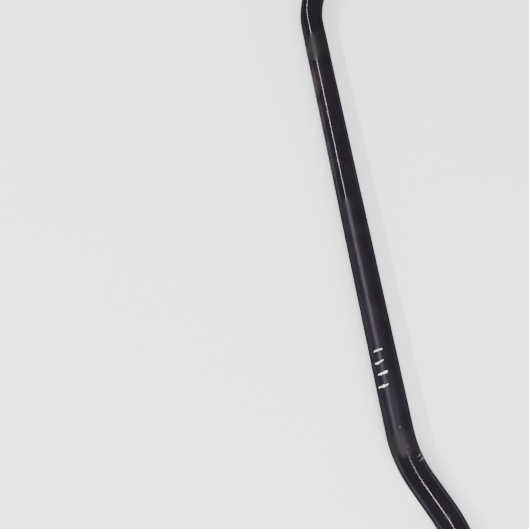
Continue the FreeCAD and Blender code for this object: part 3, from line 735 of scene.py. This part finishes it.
def make_bush(side, sign):
    """Split rubber bush: D outline, a rounded lip at each end, a flared bore and a slit to the rear."""
    half = BUSH_LENGTH / 2
    inner = half - LIP_WIDTH
    # one end of the outside, from its face inwards, as place along the bush and rise above the D outline
    lip = [(half, LIP_HEIGHT - 1.2 * MM), (half - 0.35 * MM, LIP_HEIGHT - 0.35 * MM),
           (half - 1.2 * MM, LIP_HEIGHT), (inner + 0.9 * MM, LIP_HEIGHT),
           (inner + 0.25 * MM, LIP_HEIGHT - 0.3 * MM), (inner, LIP_HEIGHT - 1 * MM),
           (inner, 0.5 * MM), (inner - 0.3 * MM, 0)]
    stations = [(-x, rise) for x, rise in lip] + lip[::-1]
    rings = [[Vector((x, p.x, p.y)) for p in d_outline(BUSH_R + rise)] for x, rise in stations]
    rays = [Vector((p.y, p.z - AXIS.z)).normalized() for p in rings[0]]
    bore = BAR_R + 0.06 * MM
    flare = [(half, bore + 0.9 * MM), (half - 0.5 * MM, bore + 0.25 * MM), (half - 1.4 * MM, bore)]
    for x, radius in flare + [(0, bore)] + [(-x, radius) for x, radius in reversed(flare)]:
        rings.append([Vector((x, ray.x * radius, AXIS.z + ray.y * radius)) for ray in rays])
    bush = outward(skin(side + "_moulded_bush", rings, loop=True))
    past = 30 * MM
    carve(bush, box_piece("slit", (-past, -past, AXIS.z - SLIT / 2), (past, 0, AXIS.z + SLIT / 2)))
    bush.data.transform(Matrix.Translation((sign * SEAT_X, 0, 0)))
    finish_piece(bush, side + "_mounting", BUSH_RUBBER, [side + "_bush"], 35)


def make_retaining_ring(side, sign):
    """Split aluminium ring: bevelled edges and a row of dents where the tool squeezed it on the bar."""
    inner, outer, half, bevel = BAR_R + 0.02 * MM, BAR_R + RING_WALL, RING_HALF, 1.2 * MM
    dents, dent_depth, dent_half, dent_angle = 6, 0.55 * MM, 2.6 * MM, 0.10
    edge = [(inner, -half), (outer - 1.5 * bevel, -half), (outer - bevel, -half + 0.08 * MM),
            (outer - 0.3 * bevel, 0.55 * bevel - half), (outer, bevel - half),
            (outer, 1.4 * bevel - half)]
    section = edge + [(outer, k * MM) for k in range(-4, 5)] + [(r, -z) for r, z in reversed(edge)]
    opening = math.asin(RING_GAP / 2 / outer)
    steps = 132
    rings = []
    for step in range(steps + 1):
        angle = opening + (2 * math.pi - 2 * opening) * step / steps
        pressed = sum(math.exp(-((angle - math.radians(40 + 56 * k)) / dent_angle) ** 2)
                      for k in range(dents))
        ring = []
        for radius, z in section:
            if radius > outer - 0.1 * MM:
                radius -= dent_depth * pressed * math.exp(-(z / dent_half) ** 4)
            ring.append(Vector((z, radius * math.cos(angle), AXIS.z + radius * math.sin(angle))))
        rings.append(ring)
    ring = outward(skin(side + "_squeezed_ring", rings))
    ring.data.transform(Matrix.Translation((sign * RING_X, 0, 0)))
    finish_piece(ring, "bar_assembly", RING_METAL, [side + "_retaining_ring"], 30)


# ---------------------------------------------------------------- ball joints

def joint_place(side, level):
    """Matrix from a ball joint's own frame, with its stud along +Z, to the row frame."""
    sign = SIDES[side]
    aim = sign if level == "upper" else -sign
    lift = LINK if level == "upper" else 0
    return (Matrix.Translation((sign * BALL_X, EYE.y, AXIS.z + lift))
            @ Matrix.Rotation(aim * math.pi / 2, 4, "Y"))


def arc(radius, start, end, steps):
    """Points of (radius, height) along an arc; angles in degrees from the outward direction."""
    angles = [math.radians(start + (end - start) * k / steps) for k in range(steps + 1)]
    return [(radius * math.cos(angle), radius * math.sin(angle)) for angle in angles]


def millimetres(points):
    """Points given in millimetres, in metres."""
    return [(radius * MM, height * MM) for radius, height in points]


def hexagon(angle, flats):
    """Distance from the centre to a hexagon's side in a direction."""
    return flats / 2 / math.cos((angle % (math.pi / 3)) - math.pi / 6)


def make_ball_stud(side, level, body):
    """Ball, neck, boot seat, collar, rolled M10 x 1.5 thread and a hexagon key socket in the tip."""
    first = 25.2 * MM                     # where the thread begins
    depth, per_turn = 0.92 * MM, 10
    profile = arc(BALL_R, -69.6, 57, 20)
    profile += millimetres([
        (4.25, 7.4), (4.25, 14.6), (4.5, 15.4), (5.5, 17.2), (5.5, 20.1), (5.9, 20.4), (9.4, 20.4),
        (9.83, 20.6), (10, 21), (10, 23.4), (9.83, 23.8), (9.4, 24), (5.3, 24), (4.95, 24.3)])
    plain = len(profile)
    levels = round((STUD_TIP - first) / PITCH * per_turn)
    profile += [(THREAD_R, first + (STUD_TIP - first) * k / levels) for k in range(levels + 1)]

    def thread(radius, height, angle, row):
        """Radius with the thread's groove and the tip's bevel cut into it."""
        if row < plain:
            return radius
        phase = (height / PITCH - angle / (2 * math.pi)) % 1
        groove = min(max(1.25 * (1 - abs(2 * phase - 1)) - 0.12, 0), 1)
        cut = THREAD_R - depth * groove * min((height - first) / PITCH, 1)
        past = height - STUD_TIP + THREAD_BEVEL
        return min(cut, THREAD_R - past * 0.9) if past > 0 else cut

    socket = [(STUD_TIP, SOCKET_HALF + 0.1 * MM), (STUD_TIP - 0.3 * MM, SOCKET_HALF),
              (STUD_TIP - SOCKET_DEPTH, SOCKET_HALF)]
    at = joint_place(side, level)
    stud = turned("%s_%s_stud" % (side, level), profile, at, 48, False, thread, socket)
    finish_piece(stud, body, STUD_METAL, ["%s_%s_ball_stud" % (side, level)], 42)


def make_housing(side, level):
    """Forged ring round the ball, with its edge rolled over the cap and a groove for the boot."""
    r = HOUSING_R / MM
    corners = [
        (11.3, -10.6, 0.3), (r - 1, -10.6, 0.9), (r, -9.4, 0.9), (r, 6.7, 0.9), (r - 1.3, 8, 0.9),
        (11.2, 8, 0.3), (11.2, 10.6, 0.3), (12, 10.6, 0.3), (12, 12, 0.5), (9.4, 12, 0.4), (8.2, 7.05, 0),
        (11.05, 7.05, 0), (11.05, -8.8, 0), (12.3, -8.8, 0), (12.3, -10.2, 0), (11.3, -10.2, 0)]
    outline = rounded([(u * MM, v * MM, radius * MM) for u, v, radius in corners], 4)
    housing = turned("%s_%s_forged_housing" % (side, level), outline, joint_place(side, level), 80)
    node = "%s_%s_housing" % (side, level)
    finish_piece(housing, side + "_link", HOUSING_COAT, [node], 35)


def make_end_cap(side, level):
    """Pressed cap with a shallow dish, under the housing's rolled edge."""
    outline = millimetres([(0.05, -8.85), (12.25, -8.85), (12.25, -10.25), (8.6, -10.25), (8.2, -10.2),
                           (7.9, -10.05), (7.3, -9.9), (6.9, -9.82), (0.9, -9.8), (0.6, -9.86),
                           (0.05, -9.9)])
    cap = turned("%s_%s_pressed_cap" % (side, level), outline, joint_place(side, level), 72)
    finish_piece(cap, side + "_link", CAP_METAL, ["%s_%s_end_cap" % (side, level)], 30)


def make_boot(side, level):
    """Rubber boot with two folds."""
    outer = [(11.35, 8.2), (12.6, 8.2), (12.9, 8.45), (12.9, 10.2), (12.98, 10.6), (13.5, 11.1),
             (14.1, 11.7), (14.45, 12.4), (14.5, 13.0), (14.3, 13.6), (13.7, 14.1), (12.7, 14.45),
             (11.7, 14.7), (11.15, 15.0), (11.05, 15.35), (11.2, 15.7), (11.25, 16.1), (11.0, 16.55),
             (10.3, 16.95), (9.4, 17.2), (8.75, 17.5), (8.45, 17.85), (8.4, 18.1), (8.4, 19.7),
             (8.25, 20.05), (7.9, 20.2), (5.9, 20.2), (5.62, 20.0)]
    inner = [(5.62, 17.85), (5.9, 17.3), (8.0, 16.45), (9.6, 15.9), (9.85, 15.4), (9.9, 14.6),
             (10.6, 13.8), (12.2, 13.4), (13.2, 13.0), (13.25, 12.5), (12.9, 12.1), (12.3, 11.7),
             (12.15, 11.2), (12.15, 10.5), (11.35, 10.5)]
    at = joint_place(side, level)
    name = "%s_%s_boot" % (side, level)
    boot = turned(name + "_folded", millimetres(outer + inner), at, 72)
    finish_piece(boot, None, BOOT_RUBBER, [name], 60)
    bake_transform(boot)


def make_spring_ring(side, level, kind, body, inner, height):
    """Flat spring wire wound nearly twice round a boot, with its two ends cut square."""
    thick, wide, pitch, edge = 1.0 * MM, 0.6 * MM, 0.68 * MM, 0.15 * MM
    turns, per_turn, first_angle = 1.9, 64, 0.7
    section = rounded([(inner, -wide / 2, edge), (inner + thick, -wide / 2, edge),
                       (inner + thick, wide / 2, edge), (inner, wide / 2, edge)], 2)
    at = joint_place(side, level)
    steps = round(turns * per_turn)
    rings = []
    for step in range(steps + 1):
        angle = 2 * math.pi * turns * step / steps + first_angle
        lift = height + pitch * (turns * step / steps - turns / 2)
        rings.append([at @ Vector((u * math.cos(angle), u * math.sin(angle), lift + v))
                      for u, v in section])
    ring = outward(skin("%s_%s_%s_wire" % (side, level, kind), rings))
    finish_piece(ring, body, CLAMP_METAL, ["%s_%s_boot_%s" % (side, level, kind)], 35)


def make_nut(side, sign):
    """Flanged hexagon nut with bevelled corners and a squeezed locking collar."""
    at = (Matrix.Translation((sign * (EYE.x - EYE_HALF), EYE.y, AXIS.z))
          @ Matrix.Rotation(-sign * math.pi / 2, 4, "Y"))

    def tool(name, points, shape=None):
        """A turned tool on the nut's axis."""
        return turned(name, millimetres(points), at, 96, False, shape)

    def squeezed(radius, height, angle, row):
        """Three dents in the collar, 120 degrees apart."""
        if height <= 8.9 * MM or radius <= 6 * MM:
            return radius
        near = min(abs((angle - math.radians(120 * k + 30) + math.pi) % (2 * math.pi) - math.pi)
                   for k in range(3))
        return radius - 0.5 * MM * math.exp(-(near / 0.24) ** 2)

    prism = []
    for z in (0.5 * MM, 8.6 * MM):
        ring = []
        for corner in range(6):
            for turn in (-2.2, 0, 2.2):
                angle = math.radians(60 * corner + turn)
                reach = hexagon(angle, NUT_FLATS) - (0 if turn else 0.12 * MM)
                ring.append(at @ Vector((reach * math.cos(angle), reach * math.sin(angle), z)))
        prism.append(ring)
    nut = outward(skin(side + "_flanged_nut", prism))
    carve(nut, tool("crown", [(9.4, -1), (9.4, 6.9), (8.7, 7.55), (7.9, 8.2), (7.25, 8.7), (7.25, 9.5)]),
          operation="INTERSECT")
    flange = tool("flange", [(10.1, 0), (10.4, 0.2), (10.5, 0.6), (10.4, 1), (10.1, 1.25), (9.3, 1.75),
                             (8.4, 2.3), (7.5, 2.8), (6.8, 3.3)])
    collar = tool("collar", [(7.2, 8.0), (7.15, 8.65), (6.95, 8.85), (6.9, 9.1), (6.9, 10.2),
                             (6.8, 10.55), (6.5, 10.85), (6.1, 11)], squeezed)
    carve(nut, flange, collar, operation="UNION")
    carve(nut, tool("bore", [(5.7, -0.5), (5.7, 0), (5.02, 0.6), (5.02, 10.5), (5.5, 11.0), (5.5, 11.5)]))
    finish_piece(nut, "bar_assembly", NUT_METAL, [side + "_link_nut"], 28)


def weld_rows(seed):
    """Rows of (radius, lift) round a rod's end, from the saddle's middle outwards and up the bead."""
    bead_height = 3.3 * MM
    rows = [[(share * (ROD_R + WELD_LEG), 0.0)] * ROD_POINTS for share in (0.05, 0.4, 0.75, 1.0)]
    for t in (0.12, 0.3, 0.5, 0.7, 0.85, 0.95, 1.0):
        row = []
        for k in range(ROD_POINTS):
            ripple = 0.13 * math.sin(9 * 2 * math.pi * k / ROD_POINTS + seed + 3 * t)
            ripple += 0.07 * math.sin(23 * 2 * math.pi * k / ROD_POINTS + 2 * seed)
            bulge = math.sin(math.pi * t) * (0.25 + ripple)
            row.append((ROD_R + max(WELD_LEG * (1 - t) + bulge * MM, 0), bead_height * t ** 1.3))
        rows.append(row)
    return rows


def make_link_rod(side, sign):
    """Drawn rod with a rippled weld bead lying round the saddle at each housing."""
    saddle_r = HOUSING_R + 0.03 * MM
    bead_clear = 19 * MM                  # from the ball's centre to the plain rod

    def lay(row, ball_z, up):
        """A row laid on the housing round the ball at that height, above it or below it."""
        ring = []
        for k, (radius, lift) in enumerate(row):
            angle = 2 * math.pi * k / ROD_POINTS
            y = radius * math.sin(angle)
            rise = math.sqrt(saddle_r ** 2 - min(abs(y), saddle_r) ** 2) + lift
            ring.append(Vector((sign * BALL_X + radius * math.cos(angle), EYE.y + y, ball_z + up * rise)))
        return ring

    rings = [lay(row, AXIS.z, 1) for row in weld_rows(0.4 + sign)]
    low, high = AXIS.z + bead_clear, AXIS.z + LINK - bead_clear
    for step in range(13):
        z = low + (high - low) * step / 12
        rings.append([Vector((sign * BALL_X + ROD_R * math.cos(2 * math.pi * k / ROD_POINTS),
                              EYE.y + ROD_R * math.sin(2 * math.pi * k / ROD_POINTS), z))
                      for k in range(ROD_POINTS)])
    rings += [lay(row, AXIS.z + LINK, -1) for row in reversed(weld_rows(2.1 + sign))]
    rod = outward(skin(side + "_welded_rod", rings))
    finish_piece(rod, side + "_link", ROD_COAT, [side + "_link_rod"], 50)


make_bar()
for side, sign in SIDES.items():
    make_bracket(side, sign)
    make_bush(side, sign)
    make_retaining_ring(side, sign)
    make_link_rod(side, sign)
    make_nut(side, sign)
    for level in ("lower", "upper"):
        stud_body = "bar_assembly" if level == "lower" else side + "_upper_stud_body"
        boot_body = "%s_%s_boot_body" % (side, level)
        make_ball_stud(side, level, stud_body)
        make_housing(side, level)
        make_end_cap(side, level)
        make_boot(side, level)
        make_spring_ring(side, level, "clamp", side + "_link", 13.0 * MM, 9.3 * MM)
        make_spring_ring(side, level, "ring", boot_body, 8.5 * MM, 18.9 * MM)
for name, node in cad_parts.items():
    if name.endswith("_bearing_shell"):
        node.data.materials.clear()
        node.data.materials.append(SHELL_PLASTIC)


# ---------------------------------------------------------------- stage, lights and camera

def add_area(name, spot, aim, size, power):
    """A rectangular light at a spot, turned to shine at another."""
    light = bpy.data.lights.new(name, "AREA")
    light.shape = "RECTANGLE"
    light.size, light.size_y = size
    light.energy = power
    holder = bpy.data.objects.new(name, light)
    bpy.context.scene.collection.objects.link(holder)
    holder.location = spot
    holder.rotation_euler = (Vector(aim) - Vector(spot)).to_track_quat("-Z", "Y").to_euler()


def make_stage():
    """Pale floor under the part, an even pale surround, two thin tubes above and a soft light beside."""
    reach, thick = 6, 0.0005
    corners = ((-reach, -reach), (reach, -reach), (reach, reach), (-reach, reach))
    floor = outward(skin("studio_floor", [[Vector((x, y, z)) for x, y in corners] for z in (-thick, 0)]))
    floor.data.materials.append(floor_paper())
    world = bpy.data.worlds.new("studio")
    world.use_nodes = True
    background = world.node_tree.nodes["Background"]
    background.inputs["Color"].default_value = (1, 1, 1, 1)
    background.inputs["Strength"].default_value = 1.15
    bpy.context.scene.world = world
    add_area("long_tube", (-1.09, -0.95, 1.2), (-1.09, 0, 0), (3.0, 0.07), 48)
    add_area("short_tube", (0.70, 0.02, 1.2), (0.70, 0, 0), (0.60, 0.05), 8)
    add_area("side_softbox", (2.2, 0.2, 2.0), (0, 0, 0), (2.0, 2.0), 150)


def make_camera():
    """The photograph's viewpoint: above the bar's right half, with the bar running down the picture."""
    spot = Vector((0.1883, -0.0987, 0.4904))
    ahead = Vector((-0.2921, -0.0418, -0.9555)).normalized()
    right = Vector((0.1484, 0.985, -0.0884))
    right = (right - ahead * right.dot(ahead)).normalized()
    up = right.cross(ahead)
    lens = bpy.data.cameras.new("camera")
    lens.sensor_width = 36
    lens.lens = 36.068053                 # for a view 53 degrees wide
    lens.clip_start = 0.01
    camera = bpy.data.objects.new("camera", lens)
    bpy.context.scene.collection.objects.link(camera)
    turn = Matrix((right, up, -ahead)).transposed()
    camera.matrix_world = Matrix.Translation(spot) @ turn.to_4x4()
    bpy.context.scene.camera = camera


make_stage()
make_camera()
